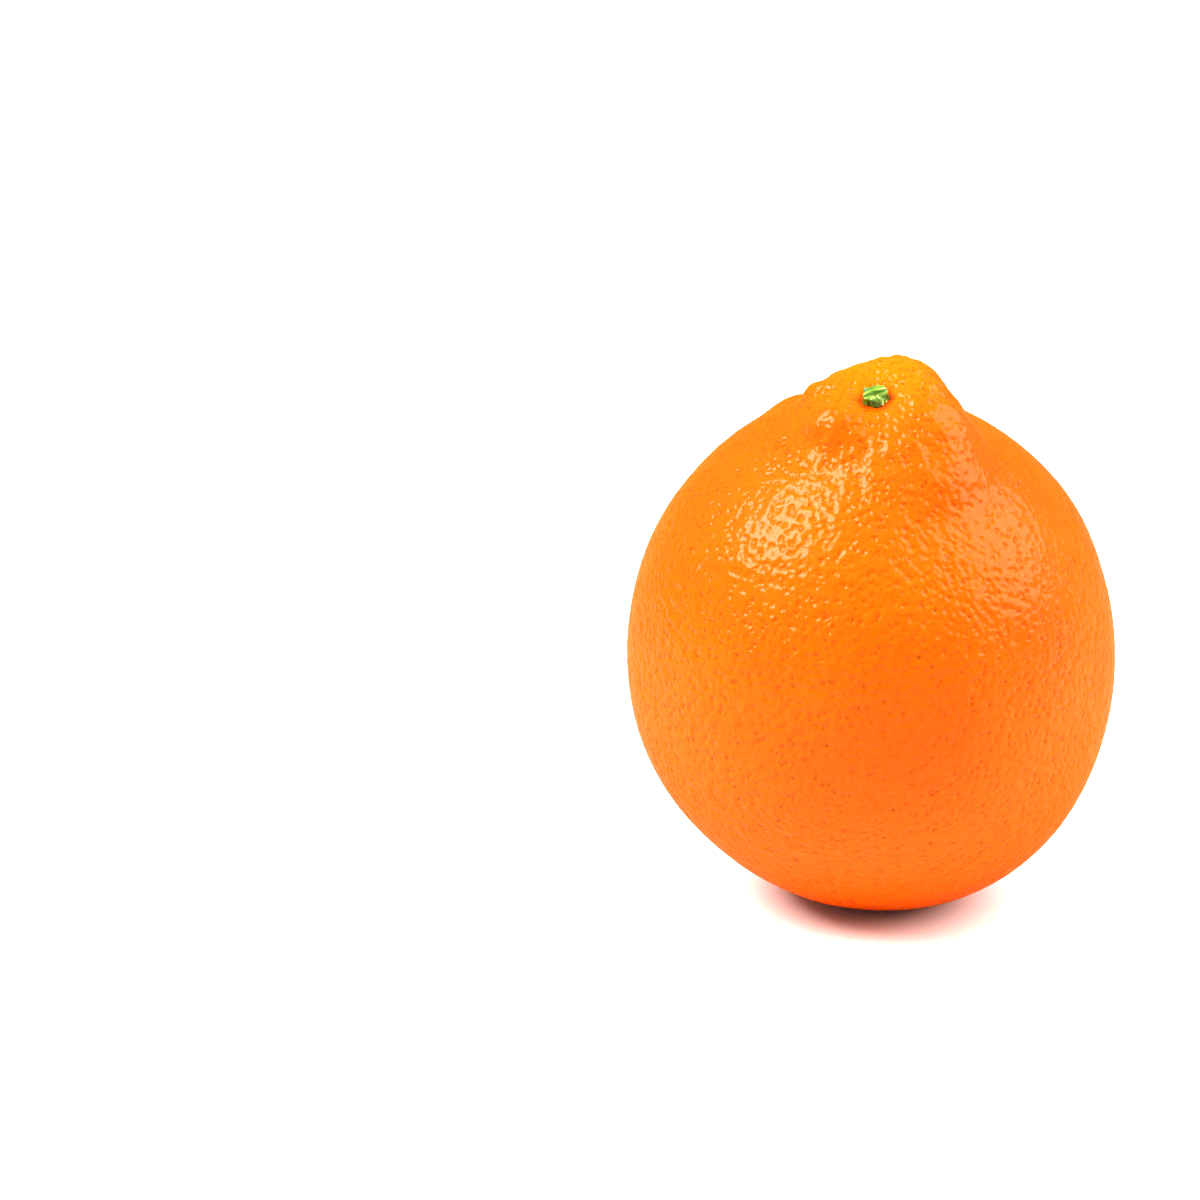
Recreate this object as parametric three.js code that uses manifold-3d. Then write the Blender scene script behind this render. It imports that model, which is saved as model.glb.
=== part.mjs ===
// A tangelo: a round citrus fruit with a low, folded neck at its stem end, standing on its blossom end.
// In a hollow on top of the neck sits the torn green calyx, with the stub of the snapped stem on it.
//
// Units are millimetres and +Z is up. The origin is the middle of the small flat spot under the fruit.
// The front is -Y: the stem end leans that way, and a little towards -X.
//
// "Fruit frame" below means the fruit before it leans: its origin is the middle of the widest circle,
// and +Z is the stem axis. Every shape is made in the fruit frame, and then stood on its flat spot.

import * as THREE from "three";
import { mergeVertices } from "three/addons/utils/BufferGeometryUtils.js";
import Module from "manifold-3d";

const wasm = await Module();
wasm.setup();

// Driving dimensions of the body
const BODY_WIDTH = 80; // across the widest circle
const SHOULDER_HEIGHT = 45.2; // from the widest circle to where the body would end without its neck
const BLOSSOM_DEPTH = 42.8; // from the widest circle down to the blossom end
const BLOSSOM_SHIFT = 2.4; // how far the blossom end sits towards +X of the stem axis
const REST_SPOT_RADIUS = 7; // the flat spot that the soft peel makes where the fruit stands
const LEAN_FORWARD = 15; // degrees, stem axis towards -Y
const LEAN_LEFT = 4; // degrees, stem axis towards -X

// The neck is a low dome with folds round it. blend is the width of the soft valley where a lump meets
// what is under it. fullness is 2 for an ellipsoid, and more for a flatter top with steeper sides.
const NECK = { at: [4.6, 0.8, 42.9], radii: [11.8, 11.0, 8.4], blend: 5, fullness: 2.2 };
const NECK_SLOPE = { x: 0.06, y: 0.3 }; // rise of the neck's top per mm
const FOLDS = [
  { at: [-3.8, -4.4, 46.4], radii: [5.0, 4.8, 4.4], blend: 2.4, fullness: 2 }, // front left, the biggest
  { at: [-4.2, 2.5, 46.4], radii: [5.2, 5.0, 4.6], blend: 2.4, fullness: 2 }, // back left
  { at: [11.6, -3.8, 46.2], radii: [3.6, 3.4, 3.2], blend: 3.5, fullness: 2 }, // front right
  { at: [8.0, -0.4, 48.8], radii: [2.6, 2.4, 2.4], blend: 2.5, fullness: 2 }, // beside the calyx
  { at: [9.5, -7.0, 40.6], radii: [9.0, 9.0, 4.6], blend: 6, fullness: 2 }, // right shoulder, low and wide
  { at: [-9.8, 10.0, 38.9], radii: [4.0, 6.5, 4.4], blend: 3.5, fullness: 2 }, // back left shoulder
];
const HOLLOW = { at: [2.6, -1.9, 53.2], radii: [5.0, 4.6, 3.6], blend: 3, fullness: 2 };

// The calyx and the stub of the stem, both in the middle of the hollow
const CALYX_RADIUS = 2.3;
const CALYX_THICKNESS = 0.8;
const CALYX_LOBES = 5;
const LOBE_LENGTH = 0.25; // how far a lobe reaches past CALYX_RADIUS
const STUB_RADIUS = 1.6;
const STUB_OVAL = 0.08; // share by which the stub is longer across than deep
const STUB_HEIGHT = 1.1;
const STUB_SLOPE = 0.25; // how far the broken top rises from its middle to its back
const SEAT_GAP = 0.3; // clearance between pieces that touch

// Mesh density
const FRUIT_SEGMENTS = 84;
const FRUIT_RINGS = 54;
const RING_CROWDING = 1.35; // above 1, rings are closer together at the stem end
const CALYX_SEGMENTS = 30;
const CALYX_RINGS = 8;
const STUB_SEGMENTS = 16;
const MERGE_DISTANCE = 1e-4;

const BODY_RADIUS = BODY_WIDTH / 2;
const SEARCH_FROM = BODY_RADIUS / 2; // this far from the middle is inside the fruit
const SEARCH_TO = BODY_WIDTH; // and this far is outside it
const SEARCH_STEPS = 36;

// Shape of the fruit: a field that is negative inside, and near the surface is about the distance to it.
function lumpField(p, { at, radii, fullness }) {
  const [x, y, z] = [p.x - at[0], p.y - at[1], p.z - at[2]];
  const [ux, uy, uz] = [x / radii[0], y / radii[1], z / radii[2]];
  const size = (Math.hypot(ux, uy) ** fullness + Math.abs(uz) ** fullness) ** (1 / fullness);
  const steepness = Math.hypot(ux / radii[0], uy / radii[1], uz / radii[2]);
  if (steepness === 0) return -Math.min(...radii);
  return ((size - 1) * Math.hypot(ux, uy, uz)) / steepness;
}

function bodyField(p) {
  const half = p.z > 0 ? SHOULDER_HEIGHT : BLOSSOM_DEPTH;
  const shift = p.z > 0 ? 0 : BLOSSOM_SHIFT * (p.z / BLOSSOM_DEPTH) ** 2;
  return lumpField(p, { at: [shift, 0, 0], radii: [BODY_RADIUS, BODY_RADIUS, half], fullness: 2 });
}

function neckField(p) {
  const rise = NECK_SLOPE.x * p.x + NECK_SLOPE.y * p.y;
  return lumpField(new THREE.Vector3(p.x, p.y, p.z - rise), NECK);
}

function softMin(a, b, blend) {
  const overlap = Math.max(blend - Math.abs(a - b), 0) / blend;
  return Math.min(a, b) - (overlap * overlap * blend) / 4;
}

function fruitField(p) {
  let grown = softMin(bodyField(p), neckField(p), NECK.blend);
  for (const fold of FOLDS) grown = softMin(grown, lumpField(p, fold), fold.blend);
  return -softMin(-grown, lumpField(p, HOLLOW), HOLLOW.blend);
}

// The point where the line pointAt(t) leaves the fruit, found by halving.
function peelOn(pointAt) {
  let inside = SEARCH_FROM;
  let outside = SEARCH_TO;
  for (let i = 0; i < SEARCH_STEPS; i++) {
    const middle = (inside + outside) / 2;
    if (fruitField(pointAt(middle)) < 0) inside = middle;
    else outside = middle;
  }
  return pointAt(inside);
}

// Each vertex of a unit sphere is moved out along its own ray to the peel.
function grownGeometry() {
  const sphere = new THREE.SphereGeometry(1, FRUIT_SEGMENTS, FRUIT_RINGS);
  const position = sphere.attributes.position;
  for (let i = 0; i < position.count; i++) {
    const turn = Math.atan2(position.getZ(i), position.getX(i));
    const share = Math.acos(THREE.MathUtils.clamp(position.getY(i), -1, 1)) / Math.PI;
    const tilt = Math.PI * share ** RING_CROWDING;
    const across = Math.sin(tilt);
    const ray = new THREE.Vector3(across * Math.cos(turn), -across * Math.sin(turn), Math.cos(tilt));
    const p = peelOn((distance) => ray.clone().multiplyScalar(distance));
    position.setXYZ(i, p.x, p.y, p.z);
  }
  return sphere;
}

function toSolid(geometry) {
  const bare = geometry.clone();
  bare.deleteAttribute("normal");
  bare.deleteAttribute("uv");
  const merged = mergeVertices(bare, MERGE_DISTANCE);
  const vertProperties = new Float32Array(merged.attributes.position.array);
  const triVerts = new Uint32Array(merged.index.array);
  return new wasm.Manifold(new wasm.Mesh({ numProp: 3, vertProperties, triVerts }));
}

function toGeometry(solid) {
  const { vertProperties, triVerts } = solid.getMesh();
  const geometry = new THREE.BufferGeometry();
  geometry.setAttribute("position", new THREE.BufferAttribute(new Float32Array(vertProperties), 3));
  geometry.setIndex(new THREE.BufferAttribute(new Uint32Array(triVerts), 1));
  return geometry;
}

function piece(name, geometry, color, roughness) {
  const mesh = new THREE.Mesh(geometry, new THREE.MeshStandardMaterial({ color, roughness, metalness: 0 }));
  mesh.name = name;
  return mesh;
}

// How the fruit stands: it leans, the lowest part of its body is pressed flat by the ground, and the
// middle of that flat spot is the origin.
const lean = new THREE.Matrix4().makeRotationFromEuler(
  new THREE.Euler(THREE.MathUtils.degToRad(LEAN_FORWARD), -THREE.MathUtils.degToRad(LEAN_LEFT), 0),
);

function pressedFlat(geometry) {
  const ground = new THREE.BoxGeometry(BODY_WIDTH, BODY_WIDTH, BODY_WIDTH).translate(0, 0, -BODY_WIDTH / 2);
  return toGeometry(toSolid(geometry).subtract(toSolid(ground)));
}

function flatSpotMiddle(geometry) {
  const spot = new THREE.Box3();
  const p = new THREE.Vector3();
  const position = geometry.attributes.position;
  for (let i = 0; i < position.count; i++) {
    p.fromBufferAttribute(position, i);
    if (p.z < MERGE_DISTANCE) spot.expandByPoint(p);
  }
  return spot.getCenter(new THREE.Vector3());
}

const leaning = grownGeometry().applyMatrix4(lean);
leaning.computeBoundingBox();
const spotDepth = BODY_RADIUS - Math.sqrt(BODY_RADIUS ** 2 - REST_SPOT_RADIUS ** 2);
const drop = -leaning.boundingBox.min.z - spotDepth;
const standing = pressedFlat(leaning.translate(0, 0, drop));
const foot = flatSpotMiddle(standing);
const stance = lean.clone().setPosition(-foot.x, -foot.y, drop);

function fruit() {
  return piece("fruit", standing.translate(-foot.x, -foot.y, 0), 0xfb7f0e, 0.38);
}

// The calyx is a lens with a lobed edge. Its middle layer follows the floor of the hollow.
function calyxReach(turn) {
  return CALYX_RADIUS + LOBE_LENGTH * Math.cos(CALYX_LOBES * turn);
}

// Height in the fruit frame of the calyx's upper face (side 1) or lower face (side -1).
function calyxLevel(x, y, side) {
  const [dx, dy] = [x - HOLLOW.at[0], y - HOLLOW.at[1]];
  const share = Math.min(Math.hypot(dx, dy) / calyxReach(Math.atan2(dy, dx)), 1);
  const swell = (CALYX_THICKNESS / 2) * (1 + side * Math.sqrt(1 - share * share));
  return peelOn((height) => new THREE.Vector3(x, y, height)).z + SEAT_GAP + swell;
}

function calyx() {
  const lens = new THREE.SphereGeometry(1, CALYX_SEGMENTS, CALYX_RINGS).rotateX(Math.PI / 2);
  const position = lens.attributes.position;
  for (let i = 0; i < position.count; i++) {
    const [ux, uy, uz] = [position.getX(i), position.getY(i), position.getZ(i)];
    const reach = calyxReach(Math.atan2(uy, ux));
    const [x, y] = [HOLLOW.at[0] + reach * ux, HOLLOW.at[1] + reach * uy];
    position.setXYZ(i, x, y, calyxLevel(x, y, uz < 0 ? -1 : 1));
  }
  return piece("calyx", lens.applyMatrix4(stance), 0x7d9a35, 0.6);
}

// The stub is a short oval stalk. Its foot follows the calyx, and its broken top slopes.
function stemStub() {
  const stalk = new THREE.CylinderGeometry(1, 1, 1, STUB_SEGMENTS, 1).rotateX(Math.PI / 2);
  const position = stalk.attributes.position;
  const middle = calyxLevel(HOLLOW.at[0], HOLLOW.at[1], 1) + SEAT_GAP;
  for (let i = 0; i < position.count; i++) {
    const [ux, uy, uz] = [position.getX(i), position.getY(i), position.getZ(i)];
    const reach = STUB_RADIUS * (1 + STUB_OVAL * Math.cos(2 * Math.atan2(uy, ux)));
    const [x, y] = [HOLLOW.at[0] + reach * ux, HOLLOW.at[1] + reach * uy];
    const foot = calyxLevel(x, y, 1) + SEAT_GAP;
    const top = middle + STUB_HEIGHT + STUB_SLOPE * uy;
    position.setXYZ(i, x, y, uz < 0 ? foot : top);
  }
  return piece("stem_stub", stalk.applyMatrix4(stance), 0xb9c964, 0.7);
}

const tangelo = new THREE.Group();
tangelo.add(fruit(), calyx(), stemStub());
export default tangelo;
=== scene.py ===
# %% [markdown]
# # A tangelo on a pale table
#
# A tangelo is a citrus fruit with a round body and a low, folded neck. This lesson starts from a CAD
# model that has the right size but plain facets, and grows the finish over it: a skin with pits and
# folds, the torn green calyx, the broken stem, and a peel material with wax on it.
# Every length is in metres, and +Z is up.

# %% Load the frame
import math

import bpy
import numpy as np
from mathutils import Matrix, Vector
from mathutils.bvhtree import BVHTree


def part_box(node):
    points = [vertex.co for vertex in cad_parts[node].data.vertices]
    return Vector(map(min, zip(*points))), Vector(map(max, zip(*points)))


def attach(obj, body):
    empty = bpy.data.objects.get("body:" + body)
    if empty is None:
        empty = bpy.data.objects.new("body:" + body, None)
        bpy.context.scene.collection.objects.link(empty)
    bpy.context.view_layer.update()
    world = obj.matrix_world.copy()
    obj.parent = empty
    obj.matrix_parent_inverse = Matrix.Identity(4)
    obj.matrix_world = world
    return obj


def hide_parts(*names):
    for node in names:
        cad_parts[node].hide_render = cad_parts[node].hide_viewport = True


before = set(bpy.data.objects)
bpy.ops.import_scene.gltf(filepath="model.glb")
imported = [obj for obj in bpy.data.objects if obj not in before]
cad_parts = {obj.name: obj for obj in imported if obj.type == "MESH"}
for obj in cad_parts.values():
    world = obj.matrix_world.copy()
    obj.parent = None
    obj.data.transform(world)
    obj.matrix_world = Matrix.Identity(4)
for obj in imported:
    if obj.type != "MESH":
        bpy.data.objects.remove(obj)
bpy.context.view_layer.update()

MM = 0.001

# %% [markdown]
# ## Where things are
#
# The frame gives the box of each CAD piece. The body's middle is a little under half way up, and the
# calyx shows where the stem was, so the line from one to the other is the stem axis. The folds, the
# colour of the neck and the scar at the blossom end are all placed along that line.

# %% Measure the fruit
BODY_MIDDLE_SHARE = 0.44  # of the height, because the neck stands on top of the body

fruit_low, fruit_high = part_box("fruit")
fruit_width = fruit_high.x - fruit_low.x
fruit_height = fruit_high.z
middle = (fruit_low + fruit_high) / 2
middle.z = fruit_height * BODY_MIDDLE_SHARE

calyx_low, calyx_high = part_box("calyx")
seat = (calyx_low + calyx_high) / 2
stem_axis = (seat - middle).normalized()
print(f"fruit {fruit_width / MM:.1f} mm wide and {fruit_height / MM:.1f} mm high")
print(f"stem axis leans {math.degrees(stem_axis.angle(Vector((0, 0, 1)))):.1f} degrees")

# %% [markdown]
# ## Nodes by one small helper
#
# Both the relief of the skin and the materials are made of nodes. One function adds a node, sets its
# properties and sockets, and links what comes in, so that each pattern below reads as a list of steps.
# The settings that come up again and again have short names.

# %% The node helper
EASED = {"interpolation_type": "SMOOTHSTEP"}
COLOURS = {"data_type": "RGBA"}
PLUS = {"operation": "ADD"}
MINUS = {"operation": "SUBTRACT"}
TIMES = {"operation": "MULTIPLY"}
TIMES_PLUS = {"operation": "MULTIPLY_ADD"}
SCALED = {"operation": "SCALE"}
PROJECTED = {"operation": "PROJECT"}
APART = {"operation": "DISTANCE"}


def add(tree, kind, settings=None, **sockets):
    """Adds a node. settings are its properties; sockets are numbers, colours or other nodes' outputs."""
    node = tree.nodes.new(kind)
    for name, value in (settings or {}).items():
        setattr(node, name, value)
    for name, value in sockets.items():
        socket = node.inputs[int(name[1:])] if name[1:].isdigit() else node.inputs[name.replace("_", " ")]
        if isinstance(value, bpy.types.NodeSocket):
            tree.links.new(value, socket)
        else:
            socket.default_value = value
    return node


def linear(hex_colour):
    """An sRGB hex colour as the linear RGBA that Blender's sockets take."""
    channels = [int(hex_colour[i : i + 2], 16) / 255 for i in (1, 3, 5)]
    return (*[c / 12.92 if c <= 0.04045 else ((c + 0.055) / 1.055) ** 2.4 for c in channels], 1.0)


def blank_material(name):
    """A new material with an empty node tree."""
    material = bpy.data.materials.new(name)
    material.use_nodes = True
    material.node_tree.nodes.clear()
    return material


print("ripe orange in linear light:", [round(channel, 3) for channel in linear("#CD5400")])

# %% [markdown]
# ## A ball of even squares
#
# The CAD fruit has long thin triangles that meet in points at the ends, so it can't carry fine relief.
# The new skin starts as a cube with a grid on each side, blown up into a ball, so that its squares are
# almost even. A UV sphere would crowd its squares at the poles, and a voxel remesh would leave steps.

# %% Make a ball of even squares
GRID = 128  # squares along each edge of the cube: just under 200,000 triangles in all


def even_ball(n):
    """Points and four-sided faces of a unit ball, from the six gridded sides of a cube."""
    ticks = np.tan(np.linspace(-math.pi / 4, math.pi / 4, n + 1))
    u, v = np.meshgrid(ticks, ticks, indexing="ij")
    one = np.ones_like(u)
    sides = []
    for axis in range(3):
        sides.append(np.roll(np.stack([u, v, one], -1), axis, -1))
        sides.append(np.roll(np.stack([v, u, -one], -1), axis, -1))
    points = np.concatenate([side.reshape(-1, 3) for side in sides])
    _, first, same = np.unique(points.round(6), axis=0, return_index=True, return_inverse=True)
    i, j = np.meshgrid(np.arange(n), np.arange(n), indexing="ij")
    corner = (i * (n + 1) + j).ravel()
    square = np.stack([corner, corner + n + 1, corner + n + 2, corner + 1], -1)
    faces = np.concatenate([square + k * (n + 1) ** 2 for k in range(len(sides))])
    directions = points[first] / np.linalg.norm(points[first], axis=1, keepdims=True)
    return directions, same.ravel()[faces]


directions, faces = even_ball(GRID)
print(len(directions), "points and", 2 * len(faces), "triangles")

# %% [markdown]
# ## Cast the ball onto the CAD fruit
#
# Each point of the ball moves out along its own ray, from the middle of the body to where the ray meets
# the CAD fruit. That keeps the CAD shape and size. One more ray, straight away from the stem, finds the
# blossom end.

# %% Cast the ball onto the CAD fruit
def surface_tree(mesh):
    """A mesh in the form that rays can be cast onto."""
    return BVHTree.FromPolygons([v.co for v in mesh.vertices], [tuple(p.vertices) for p in mesh.polygons])


def new_object(name, points, faces):
    """A smooth-shaded mesh object in the scene."""
    mesh = bpy.data.meshes.new(name)
    mesh.from_pydata([tuple(p) for p in points], [], [tuple(f) for f in faces])
    mesh.shade_smooth()
    made = bpy.data.objects.new(name, mesh)
    bpy.context.scene.collection.objects.link(made)
    return made


cad_tree = surface_tree(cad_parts["fruit"].data)
skin_points = [cad_tree.ray_cast(middle, Vector(d))[0] for d in directions]
blossom_end = cad_tree.ray_cast(middle, -stem_axis)[0]
skin = new_object("peel", skin_points, faces.tolist())
print("blossom end, mm:", [round(x / MM, 1) for x in blossom_end])

# %% [markdown]
# ## Melt the facets away
#
# The CAD facets would show in the shine. A Smooth modifier melts them, and a vertex group says where and
# how much: fully on the body, less on the neck so that its folds stay, and not at all on the flat spot.

# %% Smooth with a vertex group
NECK_REACH = 14 * MM  # from the calyx to where the neck has run out into the body
MELT_START = 0.8  # of the neck's reach, where the melting begins to grow
MELT_SPREAD = 0.4  # of the neck's reach, for a growth from nothing to all
LEAST_MELT = 0.7  # on the neck
MELT_STRENGTH = 0.5
MELT_ROUNDS = 90
ON_THE_TABLE = 0.02 * MM

place = np.array([tuple(p) for p in skin_points])
from_seat = np.linalg.norm(place - np.array(seat), axis=1)
melt = np.clip((from_seat / NECK_REACH - MELT_START) / MELT_SPREAD, LEAST_MELT, 1)
melt[place[:, 2] < ON_THE_TABLE] = 0
group = skin.vertex_groups.new(name="melt")
for index, weight in enumerate(melt.tolist()):
    group.add([index], weight, "REPLACE")
smooth = skin.modifiers.new("melt the facets", "SMOOTH")
smooth.factor = MELT_STRENGTH
smooth.iterations = MELT_ROUNDS
smooth.vertex_group = group.name
print("points kept flat on the table:", int((melt == 0).sum()))

# %% [markdown]
# ## The relief of the rind
#
# Citrus rind is full of oil glands. Over them the skin sinks into small pits, a little over a millimetre
# apart, and the land between the pits is a net. A Voronoi texture has exactly that layout: its distance
# is lowest in the middle of each cell. The pits have soft sides and the land only ripples, so a light is
# mirrored by the net and not by the pits. A fine noise bends the cells first, because no two pits on a
# fruit are alike.
# The same steps are used twice: to move the mesh, which carries what its half-millimetre squares can
# show, and as bump in the material, which adds the sharp rest. One function makes them for either tree.

# %% The pit pattern
PIT_SPACING = 1.3 * MM
PIT_DEPTH = 0.17 * MM
PIT_REACH = 0.62  # of the spacing, from the middle of a pit to the land
PIT_SOFTNESS = 0.25  # how softly one pit runs into the next
RIPPLE_SPACING = 1.8 * MM
RIPPLE_DEPTH = 0.075 * MM
RIPPLE_RANGE = (0.25, 0.75)  # where nearly all of the noise lies
BEND = 0.4 * MM  # how far the ripple pushes the pits out of shape


def rind_relief(tree, position):
    """Adds the height of the rind, in metres, to a node tree. Returns the height and the pit cells."""
    ripple = add(tree, "ShaderNodeTexNoise", Vector=position, Scale=1 / RIPPLE_SPACING, Detail=1.0)
    centred = add(tree, "ShaderNodeVectorMath", MINUS, _0=ripple.outputs[1], _1=(0.5, 0.5, 0.5))
    push = add(tree, "ShaderNodeVectorMath", SCALED, _0=centred.outputs[0], Scale=2 * BEND)
    bent = add(tree, "ShaderNodeVectorMath", PLUS, _0=position, _1=push.outputs[0])
    cells = add(
        tree, "ShaderNodeTexVoronoi", {"feature": "SMOOTH_F1"},
        Vector=bent.outputs[0], Scale=1 / PIT_SPACING, Smoothness=PIT_SOFTNESS, Randomness=1.0,
    )
    pit = add(
        tree, "ShaderNodeMapRange", EASED, Value=cells.outputs["Distance"],
        From_Min=0.0, From_Max=PIT_REACH, To_Min=-PIT_DEPTH, To_Max=0.0,
    )
    wave = add(
        tree, "ShaderNodeMapRange", Value=ripple.outputs[0],
        From_Min=RIPPLE_RANGE[0], From_Max=RIPPLE_RANGE[1], To_Min=-RIPPLE_DEPTH, To_Max=RIPPLE_DEPTH,
    )
    height = add(tree, "ShaderNodeMath", PLUS, _0=pit.outputs["Result"], _1=wave.outputs["Result"])
    return height.outputs[0], cells


print(f"pits {PIT_SPACING / MM:.1f} mm apart and {PIT_DEPTH / MM:.2f} mm deep")

# %% [markdown]
# ## Where each point of the skin is
#
# Geometry Nodes moves each point of the skin along its normal, by a sum of shapes. The shapes need to
# know how far a point is from the stem, and in which direction round it.

# %% Start the geometry nodes
relief = bpy.data.node_groups.new("rind relief", "GeometryNodeTree")
relief.interface.new_socket("Geometry", in_out="INPUT", socket_type="NodeSocketGeometry")
relief.interface.new_socket("Geometry", in_out="OUTPUT", socket_type="NodeSocketGeometry")
geometry_in = add(relief, "NodeGroupInput")
position = add(relief, "GeometryNodeInputPosition").outputs[0]
normal = add(relief, "GeometryNodeInputNormal").outputs[0]
axes = add(relief, "ShaderNodeSeparateXYZ", _0=position)

from_stem = add(relief, "ShaderNodeVectorMath", MINUS, _0=position, _1=seat)
along = add(relief, "ShaderNodeVectorMath", PROJECTED, _0=from_stem.outputs[0], _1=stem_axis)
outward = add(relief, "ShaderNodeVectorMath", MINUS, _0=from_stem.outputs[0], _1=along.outputs[0])
turned = add(relief, "ShaderNodeVectorMath", {"operation": "NORMALIZE"}, _0=outward.outputs[0])
length = add(relief, "ShaderNodeVectorMath", {"operation": "LENGTH"}, _0=from_stem.outputs[0])
round_stem = turned.outputs[0]
distance = length.outputs["Value"]
shapes = []
print("geometry nodes so far:", len(relief.nodes))

# %% [markdown]
# ## The shapes of the neck
#
# The neck is gathered like a cloth under a drawstring. Three noises shape it: long folds that run out
# from the stem, knobs a few millimetres across, and fine wrinkles. The noise of the folds changes only
# round the stem, and not along them. Each noise is centred on zero, so that it moves the skin both in
# and out, and dies away on the shoulders at a distance of its own. All three stay clear of the calyx,
# which needs a smooth seat.

# %% Folds, knobs and wrinkles
FOLD_TURNS = 3.2  # noise scale round a circle of radius 1
FOLD_HEIGHT = 0.9 * MM
KNOB_SPACING = 6.5 * MM
KNOB_HEIGHT = 1.0 * MM
WRINKLE_SPACING = 3.2 * MM
WRINKLE_HEIGHT = 0.2 * MM
CLEAR_OF_CALYX = (4 * MM, 12 * MM)  # from the seat: nothing yet, and in full
NECK_NOISES = (
    # noise over, scale, detail, roughness, in full until, gone by, height
    (round_stem, FOLD_TURNS, 2.0, 0.6, 6 * MM, 30 * MM, FOLD_HEIGHT),
    (position, 1 / KNOB_SPACING, 1.0, 0.5, 9 * MM, 24 * MM, KNOB_HEIGHT),
    (position, 1 / WRINKLE_SPACING, 1.0, 0.5, 12 * MM, 26 * MM, WRINKLE_HEIGHT),
)

clear = add(
    relief, "ShaderNodeMapRange", EASED, Value=distance,
    From_Min=CLEAR_OF_CALYX[0], From_Max=CLEAR_OF_CALYX[1], To_Min=0.0, To_Max=1.0,
)
for where, scale, detail, roughness, full_until, gone_by, height in NECK_NOISES:
    noise = add(
        relief, "ShaderNodeTexNoise", Vector=where, Scale=scale, Detail=detail, Roughness=roughness,
    )
    in_and_out = add(relief, "ShaderNodeMath", MINUS, _0=noise.outputs[0], _1=0.5)
    near = add(
        relief, "ShaderNodeMapRange", EASED, Value=distance,
        From_Min=full_until, From_Max=gone_by, To_Min=2 * height, To_Max=0.0,
    )
    fading = add(relief, "ShaderNodeMath", TIMES, _0=in_and_out.outputs[0], _1=near.outputs["Result"])
    shape = add(relief, "ShaderNodeMath", TIMES, _0=fading.outputs[0], _1=clear.outputs["Result"])
    shapes.append(shape.outputs[0])
print("shapes so far:", len(shapes))

# %% [markdown]
# ## The crease in front
#
# A soft crease runs down the front from the neck, where two lobes of the body meet. Its left side falls
# steeply and its right side rises slowly, so the shine of the left shoulder ends in a clear edge. The
# crease is a product of four parts, one for each side, one for the front, and one for how far down it
# runs.

# %% Press in the crease
CREASE_DEPTH = 0.7 * MM
CREASE_PARTS = (
    # measured by, start, end, value at the start, value at the end
    (axes.outputs["X"], -5 * MM, 5 * MM, 0.0, -CREASE_DEPTH),
    (axes.outputs["X"], 5 * MM, 26 * MM, 1.0, 0.0),
    (axes.outputs["Y"], seat.y - 10 * MM, seat.y - 2 * MM, 1.0, 0.0),
    (distance, 24 * MM, 44 * MM, 1.0, 0.0),
)

crease = 1.0
for measure, start, end, at_start, at_end in CREASE_PARTS:
    part = add(
        relief, "ShaderNodeMapRange", EASED, Value=measure,
        From_Min=start, From_Max=end, To_Min=at_start, To_Max=at_end,
    )
    crease = add(relief, "ShaderNodeMath", TIMES, _0=crease, _1=part.outputs["Result"]).outputs[0]
shapes.append(crease)
print(f"crease {CREASE_DEPTH / MM:.1f} mm deep, shapes so far: {len(shapes)}")

# %% [markdown]
# ## The shapes of the body, and the sum
#
# The body has slow waves a few centimetres long, because no fruit is a perfect ball, and a dent at the
# blossom end. A slight lift makes up for the CAD facets. The pits of the rind are added last. All of it
# fades near the table, so the flat spot stays flat.

# %% Waves, lift, dent and pits
WAVE_LENGTH = 26 * MM
WAVE_HEIGHT = 0.5 * MM
BODY_LIFT = 0.3 * MM  # the chords of the CAD facets lie inside the round body
LIFT_REACH = (16 * MM, 45 * MM)  # from the seat: nothing yet, and in full
SCAR_RADIUS = 2.2 * MM
SCAR_DEPTH = 0.5 * MM
MESH_SHARE = 0.35  # how much of the rind's relief the mesh carries
TABLE_FADE = 4 * MM

slow = add(relief, "ShaderNodeTexNoise", Vector=position, Scale=1 / WAVE_LENGTH, Detail=1.0)
swell = add(
    relief, "ShaderNodeMapRange", {"clamp": False}, Value=slow.outputs[0],
    From_Min=0.0, From_Max=1.0, To_Min=-WAVE_HEIGHT, To_Max=WAVE_HEIGHT,
)
lift = add(
    relief, "ShaderNodeMapRange", EASED, Value=distance,
    From_Min=LIFT_REACH[0], From_Max=LIFT_REACH[1], To_Min=0.0, To_Max=BODY_LIFT,
)
from_scar = add(relief, "ShaderNodeVectorMath", APART, _0=position, _1=blossom_end)
dent = add(
    relief, "ShaderNodeMapRange", EASED, Value=from_scar.outputs["Value"],
    From_Min=0.0, From_Max=2 * SCAR_RADIUS, To_Min=-SCAR_DEPTH, To_Max=0.0,
)
shapes += [swell.outputs["Result"], lift.outputs["Result"], dent.outputs["Result"]]

rind, _ = rind_relief(relief, position)
total = add(relief, "ShaderNodeMath", TIMES, _0=rind, _1=MESH_SHARE).outputs[0]
for shape in shapes:
    total = add(relief, "ShaderNodeMath", PLUS, _0=total, _1=shape).outputs[0]
off_table = add(
    relief, "ShaderNodeMapRange", EASED, Value=axes.outputs["Z"],
    From_Min=ON_THE_TABLE, From_Max=TABLE_FADE, To_Min=0.0, To_Max=1.0,
)
move = add(relief, "ShaderNodeMath", TIMES, _0=total, _1=off_table.outputs["Result"])
offset = add(relief, "ShaderNodeVectorMath", SCALED, _0=normal, Scale=move.outputs[0])
moved = add(relief, "GeometryNodeSetPosition", Geometry=geometry_in.outputs[0], Offset=offset.outputs[0])
add(relief, "NodeGroupOutput", Geometry=moved.outputs[0])
skin.modifiers.new("rind relief", "NODES").node_group = relief
print("shapes:", len(shapes), "- geometry nodes:", len(relief.nodes))

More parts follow.
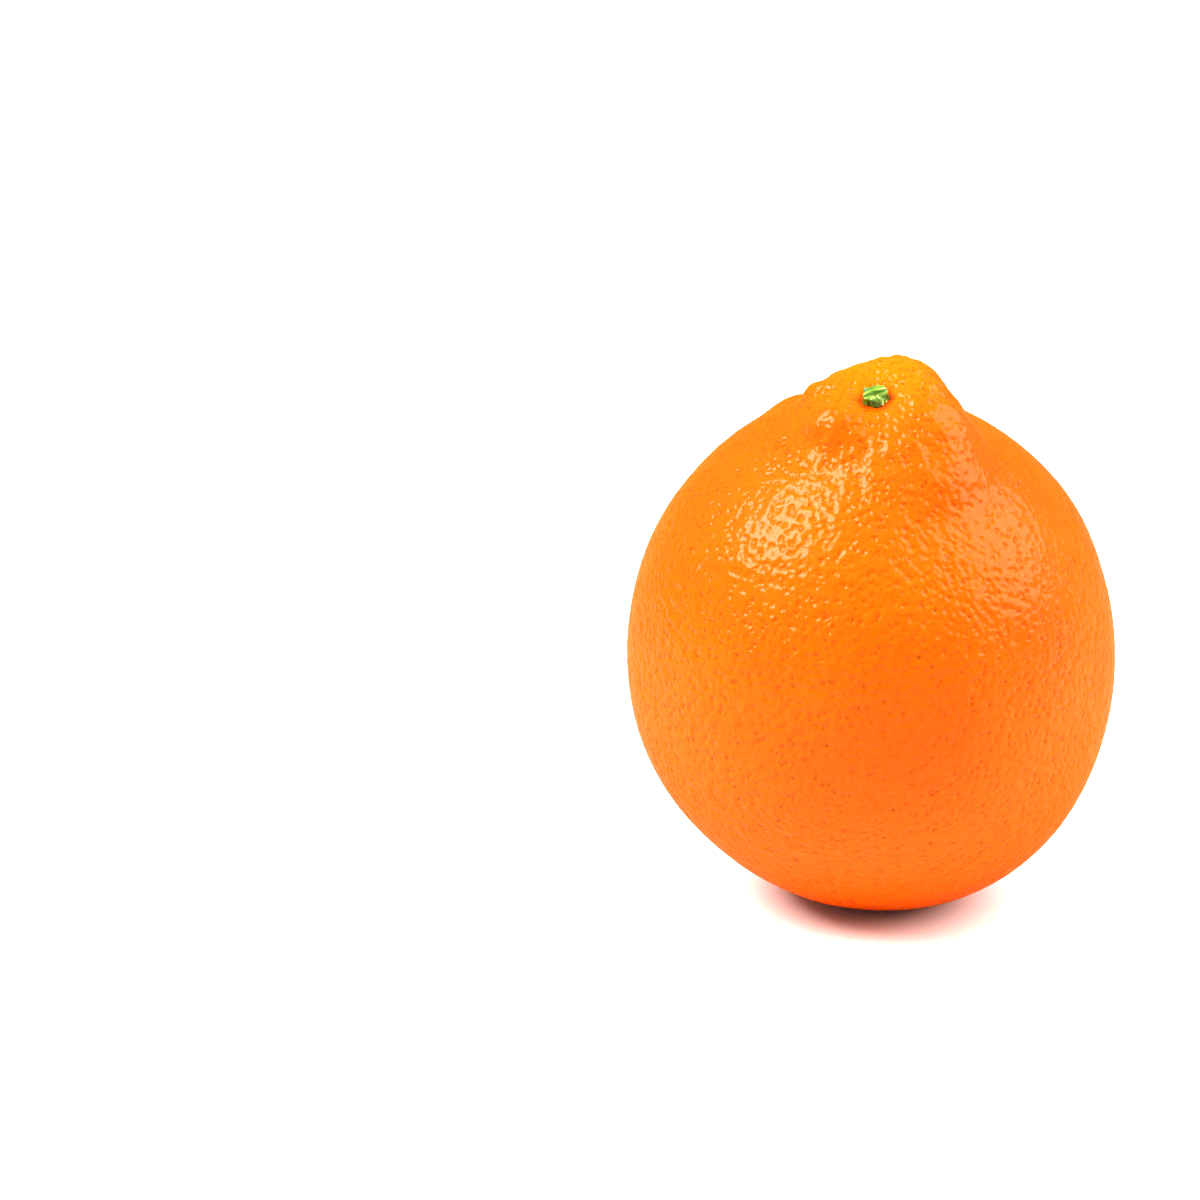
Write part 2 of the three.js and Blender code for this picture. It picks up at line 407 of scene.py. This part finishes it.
# %% [markdown]
# ## Make the skin final
#
# The calyx will be laid on the finished skin, so the modifiers are worked out now and their result
# becomes the mesh. From here on the skin stands for the CAD fruit.

# %% Make the skin final
evaluated = skin.evaluated_get(bpy.context.evaluated_depsgraph_get())
finished = bpy.data.meshes.new_from_object(evaluated)
skin.modifiers.clear()
skin.data = finished
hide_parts("fruit")
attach(skin, "root")
print("skin box, mm:", [[round(x / MM, 1) for x in c] for c in (skin.bound_box[0], skin.bound_box[6])])

# %% [markdown]
# ## The peel material
#
# Rind is a translucent orange skin under a thin coat of wax. The colour comes from below the surface, so
# some subsurface scattering softens it, and the wax is a clear coat with sharp reflections that the pits
# break up into a net of bright flecks. Seven things change the colour: broad patches where the fruit
# ripened unevenly, a more golden lower half, a yellower neck, fine freckles, brown dots in the pits where
# an oil gland shows through, the brown edge of the scar at the blossom end, and a painted shadow, a
# reddish ring round the calyx where it sits on the skin. The yellow of the neck is partly the rind's own
# and partly painted light from above.

# %% Waxed citrus rind
PATCH_SIZE = 24 * MM
PATCH_RANGE = (0.35, 0.65)  # of the noise, from one orange to the other
GOLDEN_HEIGHTS = (0.1 * fruit_height, 0.6 * fruit_height)  # golden below the first, gone at the second
NECK_TOP = seat + Vector((2, 7, 1)) * MM  # the yellowest place, behind the calyx: partly the rind's own yellow, partly painted light from above
NECK_YELLOW_REACH = (-3 * MM, 11 * MM)  # from there, less the wander: yellowest, and gone
NECK_YELLOW_WANDER = 10 * MM  # how far the edge of the yellow wanders
NECK_YELLOW_SHARE = 0.85
MOTTLE_SIZE = 7 * MM
FRECKLE_SIZE = 0.7 * MM
FRECKLE_RANGE = (0.5, 0.75)  # of the noise, from no freckle to a full one
FRECKLE_SHARE = 0.45
PORE_REACH = (0.05, 0.36)  # of the pit spacing
PORE_SHARE = 0.8
PORE_CHANCE = (0.1, 0.9)  # pits whose random number is below the first have no dot
CALYX_SHADOW_REACH = (2.4 * MM, 3.6 * MM)  # of the painted shadow round the calyx, a reddish ring where it sits on the skin
CALYX_SHADOW_SHARE = 0.5
SCAR_EDGE = 0.8 * MM
SCAR_FRAY = 1.6 * MM
SCAR_SHARE = 0.9
FRAY_SIZE = 1.2 * MM
RIND_ROUGHNESS, SCAR_ROUGHNESS = 0.55, 0.85
WAX_ANGLES = (0.35, 0.78)  # 0 is face on, and 1 is edge on
WAX_WEIGHTS = (0.27, 0.02)  # a full coat on the rim would mirror the table and bleach the orange
GLOW_DEPTH = 1.5 * MM


def fray(tree, position):
    """Noise about a millimetre across, for ragged edges."""
    return add(tree, "ShaderNodeTexNoise", Vector=position, Scale=1 / FRAY_SIZE, Detail=2.0).outputs[0]


def peel_material():
    """Waxed citrus rind: a deep, soft orange that glows a little, under flecks of hard white shine."""
    material = blank_material("waxed citrus rind")
    tree = material.node_tree
    position = add(tree, "ShaderNodeTexCoord").outputs["Object"]
    height, cells = rind_relief(tree, position)

    patches = add(tree, "ShaderNodeTexNoise", Vector=position, Scale=1 / PATCH_SIZE, Detail=3.0)
    patch = add(
        tree, "ShaderNodeMapRange", Value=patches.outputs[0],
        From_Min=PATCH_RANGE[0], From_Max=PATCH_RANGE[1], To_Min=0.0, To_Max=1.0,
    )
    orange = add(
        tree, "ShaderNodeMix", COLOURS,
        _0=patch.outputs["Result"], _6=linear("#CD5400"), _7=linear("#CA4E00"),
    )
    axes = add(tree, "ShaderNodeSeparateXYZ", _0=position)
    lower_half = add(
        tree, "ShaderNodeMapRange", EASED, Value=axes.outputs["Z"],
        From_Min=GOLDEN_HEIGHTS[0], From_Max=GOLDEN_HEIGHTS[1], To_Min=1.0, To_Max=0.0,
    )
    golden = add(
        tree, "ShaderNodeMix", COLOURS,
        _0=lower_half.outputs["Result"], _6=orange.outputs[2], _7=linear("#CE5900"),
    )

    # a yellower neck: partly the rind's own colour near the stem, partly painted light falling from above
    from_top = add(tree, "ShaderNodeVectorMath", APART, _0=position, _1=NECK_TOP)
    mottle = add(tree, "ShaderNodeTexNoise", Vector=position, Scale=1 / MOTTLE_SIZE, Detail=2.0)
    wander = add(
        tree, "ShaderNodeMath", TIMES_PLUS,
        _0=mottle.outputs[0], _1=-NECK_YELLOW_WANDER, _2=from_top.outputs["Value"],
    )
    neck_yellow_and_top_light = add(
        tree, "ShaderNodeMapRange", EASED, Value=wander.outputs[0],
        From_Min=NECK_YELLOW_REACH[0], From_Max=NECK_YELLOW_REACH[1], To_Min=NECK_YELLOW_SHARE, To_Max=0.0,
    )
    neck = add(
        tree, "ShaderNodeMix", COLOURS,
        _0=neck_yellow_and_top_light.outputs["Result"], _6=golden.outputs[2], _7=linear("#CE6200"),
    )

    freckles = add(tree, "ShaderNodeTexNoise", Vector=position, Scale=1 / FRECKLE_SIZE, Detail=1.0)
    freckle = add(
        tree, "ShaderNodeMapRange", Value=freckles.outputs[0],
        From_Min=FRECKLE_RANGE[0], From_Max=FRECKLE_RANGE[1], To_Min=0.0, To_Max=FRECKLE_SHARE,
    )
    freckled = add(
        tree, "ShaderNodeMix", COLOURS,
        _0=freckle.outputs["Result"], _6=neck.outputs[2], _7=linear("#A04400"),
    )
    pore = add(
        tree, "ShaderNodeMapRange", EASED, Value=cells.outputs["Distance"],
        From_Min=PORE_REACH[0], From_Max=PORE_REACH[1], To_Min=PORE_SHARE, To_Max=0.0,
    )
    chance = add(tree, "ShaderNodeSeparateXYZ", _0=cells.outputs["Color"])
    picked = add(
        tree, "ShaderNodeMapRange", Value=chance.outputs["Y"],
        From_Min=PORE_CHANCE[0], From_Max=PORE_CHANCE[1], To_Min=0.0, To_Max=1.0,
    )
    dark = add(tree, "ShaderNodeMath", TIMES, _0=pore.outputs["Result"], _1=picked.outputs["Result"])
    dotted = add(
        tree, "ShaderNodeMix", COLOURS,
        _0=dark.outputs[0], _6=freckled.outputs[2], _7=linear("#4A3A00"),
    )

    from_stem = add(tree, "ShaderNodeVectorMath", APART, _0=position, _1=seat)
    # painted shadow: a reddish-brown ring darkens the rind round the calyx, where it sits on the skin
    ring = add(
        tree, "ShaderNodeMapRange", EASED, Value=from_stem.outputs["Value"],
        From_Min=CALYX_SHADOW_REACH[0], From_Max=CALYX_SHADOW_REACH[1], To_Min=CALYX_SHADOW_SHARE, To_Max=0.0,
    )
    calyx_shadowed = add(
        tree, "ShaderNodeMix", COLOURS,
        _0=ring.outputs["Result"], _6=dotted.outputs[2], _7=linear("#8E3200"),
    )
    from_scar = add(tree, "ShaderNodeVectorMath", APART, _0=position, _1=blossom_end)
    ragged = add(
        tree, "ShaderNodeMath", TIMES_PLUS,
        _0=fray(tree, position), _1=SCAR_FRAY, _2=from_scar.outputs["Value"],
    )
    scar = add(
        tree, "ShaderNodeMapRange", EASED, Value=ragged.outputs[0],
        From_Min=SCAR_RADIUS, From_Max=SCAR_RADIUS + SCAR_EDGE, To_Min=SCAR_SHARE, To_Max=0.0,
    )
    colour = add(
        tree, "ShaderNodeMix", COLOURS,
        _0=scar.outputs["Result"], _6=calyx_shadowed.outputs[2], _7=linear("#6E4A1E"),
    )

    rough = add(
        tree, "ShaderNodeMapRange", Value=scar.outputs["Result"],
        From_Min=0.0, From_Max=SCAR_SHARE, To_Min=RIND_ROUGHNESS, To_Max=SCAR_ROUGHNESS,
    )
    bump = add(tree, "ShaderNodeBump", Height=height, Strength=1.0, Distance=1.0)
    facing = add(tree, "ShaderNodeLayerWeight", Blend=0.5)
    wax = add(
        tree, "ShaderNodeMapRange", EASED, Value=facing.outputs["Facing"],
        From_Min=WAX_ANGLES[0], From_Max=WAX_ANGLES[1], To_Min=WAX_WEIGHTS[0], To_Max=WAX_WEIGHTS[1],
    )
    shader = add(
        tree, "ShaderNodeBsdfPrincipled",
        Base_Color=colour.outputs[2], Roughness=rough.outputs["Result"], IOR=1.45, Normal=bump.outputs[0],
        Specular_IOR_Level=0.05,  # the wax carries the shine, and the rind under it has hardly any
        Subsurface_Weight=0.15, Subsurface_Radius=(1.0, 0.35, 0.1), Subsurface_Scale=GLOW_DEPTH,
        Coat_Weight=wax.outputs["Result"], Coat_Roughness=0.07, Coat_IOR=1.4, Coat_Normal=bump.outputs[0],
    )
    add(tree, "ShaderNodeOutputMaterial", Surface=shader.outputs[0])
    return material


skin.data.materials.clear()
skin.data.materials.append(peel_material())
print("peel:", len(skin.data.materials[0].node_tree.nodes), "nodes")

# %% [markdown]
# ## The seat of the calyx
#
# The calyx is the green star of dried sepals that held the flower, and later the fruit. It lies on the
# skin in the middle of the hollow. Its place is taken from the finished skin and not from the plain CAD
# fruit, so that it neither floats over a pit nor sinks into a fold. The mean normal of the skin there
# says which way is up.

# %% Find the skin under the calyx
SEAT_SHARE = 1.4  # of the calyx's radius: the skin that counts for its tilt
CAST_HEIGHT = 8 * MM  # where the rays down to the skin start

calyx_radius = (calyx_high.x - calyx_low.x) / 2
under = [v for v in skin.data.vertices if (v.co - seat).length < SEAT_SHARE * calyx_radius]
seat_up = sum((v.normal for v in under), Vector()).normalized()
seat_right = (Vector((1, 0, 0)) - seat_up * seat_up.x).normalized()
seat_back = seat_up.cross(seat_right)
skin_tree = surface_tree(skin.data)


def on_skin(across, back, height):
    """The point this far over the skin, at a place measured from the middle of the calyx."""
    start = seat + seat_right * across + seat_back * back + seat_up * CAST_HEIGHT
    ground = skin_tree.ray_cast(start, -seat_up)[0]
    return ground + seat_up * height


print("seat leans", round(math.degrees(seat_up.angle(Vector((0, 0, 1)))), 1), "degrees")

# %% [markdown]
# ## Ragged outlines and closed shells
#
# A torn edge is wavy at many sizes at once, so its line is a sum of waves with seeded phases. Calyx and
# stub are both stacks of such rings, closed by a point at each end.

# %% Helpers for torn plant
def wobble(turns, first, last, seed):
    """A closed wavy line round the stem, mostly between -1 and 1: a sum of waves with seeded phases."""
    phases = np.random.default_rng(seed).uniform(0, 2 * math.pi, last - first + 1)
    waves = [np.cos(k * turns + phase) for k, phase in zip(range(first, last + 1), phases)]
    return np.sum(waves, axis=0) / math.sqrt(len(waves)) / 1.5


def closed_shell(name, rings, tips):
    """A closed mesh from rings of points, with a point at each end of the stack."""
    count = len(rings[0])
    points = [p for ring in rings for p in ring] + list(tips)
    faces = []
    for row in range(len(rings) - 1):
        for i in range(count):
            j = (i + 1) % count
            faces.append((row * count + i, (row + 1) * count + i, (row + 1) * count + j, row * count + j))
    last = (len(rings) - 1) * count
    for i in range(count):
        j = (i + 1) % count
        faces.append((len(points) - 2, i, j))
        faces.append((len(points) - 1, last + j, last + i))
    return new_object(name, points, faces)


print("a wavy line at four turns:", wobble(np.linspace(0, 3, 4), 2, 5, 1).round(2).tolist())

# %% [markdown]
# ## The calyx
#
# Five short sepals round a thick middle, withered at their tips and torn where the stem was pulled off.
# It is made as rings of points from the middle out to the ragged edge, and back underneath. Every ring
# follows the skin, and the tips curl up a little.

# %% Grow the calyx
SEPALS = 5
SEPAL_TURN = 0.6  # radians
SEPAL_FULLNESS = 0.7  # below 1 the sepals are broad, with narrow gaps
CALYX_OUTLINE = (0.7, 0.18, 0.05)  # shares of the radius: the middle, the sepals and the ragged edge
CALYX_TURNS = 200
CALYX_TOP_SHARES = np.linspace(0.04, 1, 22)  # of the way out, for the rings on top
CALYX_UNDER_SHARES = (0.97, 0.85, 0.5, 0.1)  # and for the rings underneath
CALYX_MIDDLE_THICKNESS = 0.75 * MM
CALYX_TIP_THICKNESS = 0.22 * MM
CALYX_SINK = 0.12 * MM  # the underside is grown together with the skin
TIP_CURL = 0.2 * MM
VEIN_HEIGHT = 0.05 * MM

turns = np.linspace(0, 2 * math.pi, CALYX_TURNS, endpoint=False)
sepal = (0.5 + 0.5 * np.cos(SEPALS * turns + SEPAL_TURN)) ** SEPAL_FULLNESS
edge = CALYX_OUTLINE[0] + CALYX_OUTLINE[1] * sepal + CALYX_OUTLINE[2] * wobble(turns, 3, 24, 11)
reach = calyx_radius * edge
veins = VEIN_HEIGHT * wobble(turns, 14, 30, 12)


def calyx_ring(share, heights):
    """One ring of the calyx, at a share of the way out. The curl of the tips is added to the heights."""
    curled = heights + TIP_CURL * share**4 * (0.5 + sepal)
    return [
        on_skin(r * share * math.cos(t), r * share * math.sin(t), h) for t, r, h in zip(turns, reach, curled)
    ]


rings = []
for share in CALYX_TOP_SHARES:
    thickness = CALYX_TIP_THICKNESS + (CALYX_MIDDLE_THICKNESS - CALYX_TIP_THICKNESS) * (1 - share**2)
    rings.append(calyx_ring(share, thickness + veins * share))
rings += [calyx_ring(share, -CALYX_SINK) for share in CALYX_UNDER_SHARES]
calyx_tips = (on_skin(0, 0, CALYX_MIDDLE_THICKNESS), on_skin(0, 0, -CALYX_SINK))
calyx = closed_shell("calyx_star", rings, calyx_tips)
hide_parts("calyx")
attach(calyx, "root")
print("calyx:", len(calyx.data.polygons), "faces")

# %% [markdown]
# ## The stub of the stem
#
# The stem snapped off just over the calyx. A green stem breaks like a green twig: the wood tears along
# its fibres, so the break is a few slanted facets with steps between them and one ridge across, and its
# sides are grooved from top to bottom. Each facet is the part of the top that is nearest to one seeded
# point, and it has a height and a slant of its own.

# %% Break the stem
STUB_TURNS = 180
STUB_TOP_SHARES = np.linspace(0.03, 1, 40)  # of the way out, for the rings on the break
STUB_SIDE_SHARES = np.linspace(0, 1, 25)[1:]  # of the way down the side
STUB_UNDER_SHARES = (0.6, 0.2)
STUB_RADIUS = 1.75 * MM
STUB_HEIGHT = 1.3 * MM
STUB_FOOT = 0.35 * MM  # over the skin, inside the thick middle of the calyx
STUB_SINK = 0.15 * MM
STUB_FLARE = 0.12  # how much wider the foot is than the top
STUB_OVAL = 0.1  # how much wider it is from side to side
STUB_OUTLINE = (0.93, 0.1, 0.05, 0.018)  # shares of the radius: middle, corners, grooves, fine grooves
CORNER_WAVES = 2.5  # each wave makes two corners
WORN_EDGE = 0.25 * MM
FACETS = 5
FACET_STEP = 0.22 * MM
FACET_SLANT = 0.45
EDGE_SHARPNESS = 26 / MM**2  # how sharply one facet gives way to the next
BREAK_SLOPE = (-0.1, 0.22)  # rise of the whole break to the right and to the back
RIDGE_HEIGHT = 0.22 * MM
RIDGE_WIDTH = 0.28 * MM
RIDGE_SLANT = 0.35  # how far back the ridge runs for each step to the right

turns = np.linspace(0, 2 * math.pi, STUB_TURNS, endpoint=False)
corners = np.abs(np.cos(CORNER_WAVES * turns + 0.5)) ** 0.6
outline = STUB_OUTLINE[0] + STUB_OUTLINE[1] * corners
outline += STUB_OUTLINE[2] * wobble(turns, 2, 9, 21) + STUB_OUTLINE[3] * wobble(turns, 16, 40, 22)
outline *= STUB_RADIUS * (1 + STUB_OVAL * np.cos(turns) ** 2)
picks = np.random.default_rng(23)
spots = picks.uniform(-1, 1, (FACETS, 2)) * STUB_RADIUS
steps = picks.uniform(-1, 1, FACETS) * FACET_STEP
slants = picks.uniform(-1, 1, (FACETS, 2)) * FACET_SLANT
foot = on_skin(0, 0, STUB_FOOT)


def break_height(across, back):
    """Height of the torn top over the foot of the stub."""
    away = np.stack([across[:, None] - spots[:, 0], back[:, None] - spots[:, 1]], -1)
    squares = (away**2).sum(-1)
    weight = np.exp(-EDGE_SHARPNESS * (squares - squares.min(1, keepdims=True)))
    weight /= weight.sum(1, keepdims=True)
    facet = steps + (away * slants).sum(-1)
    ridge = RIDGE_HEIGHT * np.exp(-(((across * RIDGE_SLANT - back) / RIDGE_WIDTH) ** 2))
    return STUB_HEIGHT + (weight * facet).sum(1) + BREAK_SLOPE[0] * across + BREAK_SLOPE[1] * back + ridge


def stub_ring(share, down):
    """One ring of the stub, at a share of the way out. down is 0 on the torn top, and 1 at the foot."""
    grown = outline * share * (1 + STUB_FLARE * down**2)
    across, back = grown * np.cos(turns), grown * np.sin(turns)
    top = break_height(outline * share * np.cos(turns), outline * share * np.sin(turns))
    top = top - WORN_EDGE * share**12 * (0.5 + wobble(turns, 5, 14, 24))
    heights = top * (1 - down) - STUB_SINK * down
    return [foot + seat_right * a + seat_back * b + seat_up * h for a, b, h in zip(across, back, heights)]


rings = [stub_ring(share, 0.0) for share in STUB_TOP_SHARES]
rings += [stub_ring(1.0, down) for down in STUB_SIDE_SHARES]
rings += [stub_ring(share, 1.0) for share in STUB_UNDER_SHARES]
middle_height = float(break_height(np.zeros(1), np.zeros(1))[0])
stub = closed_shell("torn_stub", rings, (foot + seat_up * middle_height, foot - seat_up * STUB_SINK))
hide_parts("stem_stub")
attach(stub, "root")
print("stub:", len(stub.data.polygons), "faces")

# %% [markdown]
# ## Green wood and withered sepals
#
# Both are plant fibre. The torn stem is fresh: green and moist on the break, darker green down its bark,
# with pale cream threads where fibres were pulled out. On the sides the fibres run along the stem, and
# on the break they lie torn over to the right, so the noise that colours them is drawn out in one
# direction or the other. The calyx is drier, with a cream and brown rim.

# %% Green stem and calyx materials
FIBRE_WIDTH = 0.8 * MM  # a real fibre is far finer, and would not show
FIBRE_STRETCH = 0.85  # share of the length along the fibres that is squeezed out
TORN_OVER = (seat_right + RIDGE_SLANT * seat_back).normalized()  # the way the fibres lie on the break
BREAK_HEIGHTS = (0.6 * MM, 1.25 * MM)  # over the foot: bark below the first, break above the second
STREAK_RANGE = (0.35, 0.62)  # of the noise, from the dark green to the light one
THREAD_RANGE = (0.6, 0.67)  # of the noise, from no thread to a full one
THREAD_SHARE = 0.85
FIBRE_BUMP = 0.25 * MM
STEM_GLOW_DEPTH = 0.4 * MM
SEPAL_FRAY = 0.7 * MM
DRY_RIM = (2.3 * MM, 2.7 * MM)  # from the foot of the stub: green inside the first, dry past the second
SEPAL_BUMP = 0.2 * MM


def fibre_noise(tree, position, grain):
    """Noise drawn out along one direction, as fibres are."""
    along = add(tree, "ShaderNodeVectorMath", PROJECTED, _0=position, _1=grain)
    squeezed = add(tree, "ShaderNodeVectorMath", SCALED, _0=along.outputs[0], Scale=-FIBRE_STRETCH)
    drawn_out = add(tree, "ShaderNodeVectorMath", PLUS, _0=position, _1=squeezed.outputs[0])
    noise = add(tree, "ShaderNodeTexNoise", Vector=drawn_out.outputs[0], Scale=1 / FIBRE_WIDTH, Detail=2.0)
    return noise.outputs[0]


def stem_material():
    """Torn green stem: moist streaks of green and cream on top, over dark bark that sets them off."""
    material = blank_material("torn green stem")
    tree = material.node_tree
    position = add(tree, "ShaderNodeTexCoord").outputs["Object"]
    from_foot = add(tree, "ShaderNodeVectorMath", MINUS, _0=position, _1=foot)
    height = add(
        tree, "ShaderNodeVectorMath", {"operation": "DOT_PRODUCT"}, _0=from_foot.outputs[0], _1=seat_up,
    )
    on_top = add(
        tree, "ShaderNodeMapRange", EASED, Value=height.outputs["Value"],
        From_Min=BREAK_HEIGHTS[0], From_Max=BREAK_HEIGHTS[1], To_Min=0.0, To_Max=1.0,
    )
    fibres = add(
        tree, "ShaderNodeMix", {"data_type": "FLOAT"}, _0=on_top.outputs["Result"],
        _2=fibre_noise(tree, position, seat_up), _3=fibre_noise(tree, position, TORN_OVER),
    ).outputs[0]
    streak = add(
        tree, "ShaderNodeMapRange", Value=fibres,
        From_Min=STREAK_RANGE[0], From_Max=STREAK_RANGE[1], To_Min=0.0, To_Max=1.0,
    )
    bark = add(
        tree, "ShaderNodeMix", COLOURS,
        _0=streak.outputs["Result"], _6=linear("#1E2C04"), _7=linear("#55700E"),
    )
    moist = add(
        tree, "ShaderNodeMix", COLOURS,
        _0=streak.outputs["Result"], _6=linear("#2C5006"), _7=linear("#6E861C"),
    )
    green = add(
        tree, "ShaderNodeMix", COLOURS, _0=on_top.outputs["Result"], _6=bark.outputs[2], _7=moist.outputs[2],
    )
    thread = add(
        tree, "ShaderNodeMapRange", Value=fibres,
        From_Min=THREAD_RANGE[0], From_Max=THREAD_RANGE[1], To_Min=0.0, To_Max=THREAD_SHARE,
    )
    colour = add(
        tree, "ShaderNodeMix", COLOURS,
        _0=thread.outputs["Result"], _6=green.outputs[2], _7=linear("#BDB878"),
    )
    bump = add(tree, "ShaderNodeBump", Height=fibres, Strength=0.6, Distance=FIBRE_BUMP)
    shader = add(
        tree, "ShaderNodeBsdfPrincipled",
        Base_Color=colour.outputs[2], Roughness=0.5, IOR=1.45, Normal=bump.outputs[0],
        Subsurface_Weight=0.1, Subsurface_Radius=(0.6, 1.0, 0.3), Subsurface_Scale=STEM_GLOW_DEPTH,
    )
    add(tree, "ShaderNodeOutputMaterial", Surface=shader.outputs[0])
    return material


def calyx_material():
    """Withered sepals: a dull dark green that ends in a thin, papery, light rim."""
    material = blank_material("withered sepals")
    tree = material.node_tree
    position = add(tree, "ShaderNodeTexCoord").outputs["Object"]
    blotch = fray(tree, position)
    from_stem = add(tree, "ShaderNodeVectorMath", APART, _0=position, _1=foot)
    edge = add(
        tree, "ShaderNodeMath", TIMES_PLUS, _0=blotch, _1=SEPAL_FRAY, _2=from_stem.outputs["Value"],
    )
    dry = add(
        tree, "ShaderNodeMapRange", EASED, Value=edge.outputs[0],
        From_Min=DRY_RIM[0], From_Max=DRY_RIM[1], To_Min=0.0, To_Max=1.0,
    )
    rim = add(tree, "ShaderNodeMix", COLOURS, _0=blotch, _6=linear("#5A3C10"), _7=linear("#B9A468"))
    colour = add(
        tree, "ShaderNodeMix", COLOURS, _0=dry.outputs["Result"], _6=linear("#33480A"), _7=rim.outputs[2],
    )
    bump = add(tree, "ShaderNodeBump", Height=blotch, Strength=0.5, Distance=SEPAL_BUMP)
    shader = add(
        tree, "ShaderNodeBsdfPrincipled",
        Base_Color=colour.outputs[2], Roughness=0.65, IOR=1.45, Normal=bump.outputs[0],
    )
    add(tree, "ShaderNodeOutputMaterial", Surface=shader.outputs[0])
    return material


stub.data.materials.append(stem_material())
calyx.data.materials.append(calyx_material())
print("materials:", sorted(m.name for m in bpy.data.materials))

# %% [markdown]
# ## The table
#
# A fruit shows its shape best on a plain pale top. A flat sheet, far wider than the view, is enough: it
# takes the soft shadow, and it throws white light back up under the fruit.

# %% Lay the table
TABLE_HALF_WIDTH = 3.0
CLOUD_SIZE = 40 * MM


def table_material():
    """Painted white board: matt and all but even, so that the shadow is the only thing seen on it."""
    material = blank_material("white table")
    tree = material.node_tree
    position = add(tree, "ShaderNodeTexCoord").outputs["Object"]
    clouds = add(tree, "ShaderNodeTexNoise", Vector=position, Scale=1 / CLOUD_SIZE, Detail=3.0)
    tint = add(
        tree, "ShaderNodeMix", COLOURS,
        _0=clouds.outputs[0], _6=linear("#E8E2DE"), _7=linear("#E5DFDB"),
    )
    shader = add(tree, "ShaderNodeBsdfPrincipled", Base_Color=tint.outputs[2], Roughness=0.6)
    add(tree, "ShaderNodeOutputMaterial", Surface=shader.outputs[0])
    return material


half = TABLE_HALF_WIDTH
table_corners = ((-half, -half, 0), (half, -half, 0), (half, half, 0), (-half, half, 0))
table = new_object("table", table_corners, [(0, 1, 2, 3)])
table.data.materials.append(table_material())
print(f"table {2 * half:.0f} m wide")

# %% [markdown]
# ## The light
#
# Two softboxes make the broad highlights on the shoulders. They have the same power, but the left one is
# smaller and nearer, so it looks brighter; the right one is wide and weak. A dim white room fills the
# shadows. A bright room could do that too, but it would lay a milky shine over the whole peel.

# %% Light the table
ROOM_STRENGTH = 0.62
SOFTBOXES = (
    # name, direction from the fruit, distance, width and height in metres, and power in watts
    ("key softbox", (-0.61, -0.19, 0.77), 1.0, 0.54, 0.64, 23),
    ("fill softbox", (0.76, -0.07, 0.64), 1.1, 1.0, 1.05, 23),
)

world = bpy.data.worlds.new("white studio")
world.use_nodes = True
room = world.node_tree.nodes["Background"]
room.inputs["Color"].default_value = (1, 1, 1, 1)
room.inputs["Strength"].default_value = ROOM_STRENGTH
bpy.context.scene.world = world

for name, direction, away, width, height, power in SOFTBOXES:
    light = bpy.data.lights.new(name, "AREA")
    light.shape = "RECTANGLE"
    light.size = width
    light.size_y = height
    light.energy = power
    softbox = bpy.data.objects.new(name, light)
    softbox.location = middle + Vector(direction).normalized() * away
    softbox.rotation_euler = (middle - softbox.location).to_track_quat("-Z", "Y").to_euler()
    bpy.context.scene.collection.objects.link(softbox)

# %% [markdown]
# ## The camera
#
# A long lens from a little above the fruit, so that the neck and the button on it both show and the body
# keeps its round outline. The fruit stands right of the middle and the view is two and a half fruits
# wide; both are given in fruit widths, so the view keeps its layout if the fruit is scaled.
# The Standard view transform keeps the orange as saturated as it is, and the High Contrast look makes
# the shine crisp and the table white.

# %% Place the camera
ELEVATION = math.radians(17)
CAMERA_DISTANCE = 0.85
FRAME_WIDTHS = 2.474  # the view is this many fruit widths wide
RIGHT_SHARE = 0.558  # fruit widths from the middle of the view to the fruit's
BELOW_SHARE = 0.112
SENSOR = 36.0
NEAR_LIMIT = 0.01

ahead = Vector((0, math.cos(ELEVATION), -math.sin(ELEVATION)))
up = Vector((0, math.sin(ELEVATION), math.cos(ELEVATION)))
camera = bpy.data.objects.new("camera", bpy.data.cameras.new("camera"))
camera.data.sensor_width = SENSOR
camera.data.lens = SENSOR * CAMERA_DISTANCE / (FRAME_WIDTHS * fruit_width)
camera.data.clip_start = NEAR_LIMIT
camera.location = (
    Vector((middle.x, 0, middle.z)) - ahead * CAMERA_DISTANCE
    - Vector((1, 0, 0)) * RIGHT_SHARE * fruit_width + up * BELOW_SHARE * fruit_width
)
camera.rotation_euler = (math.pi / 2 - ELEVATION, 0, 0)
bpy.context.scene.collection.objects.link(camera)
bpy.context.scene.camera = camera
bpy.context.scene.view_settings.view_transform = "Standard"
bpy.context.scene.view_settings.look = "High Contrast"
print(f"lens {camera.data.lens:.0f} mm, {CAMERA_DISTANCE} m away")
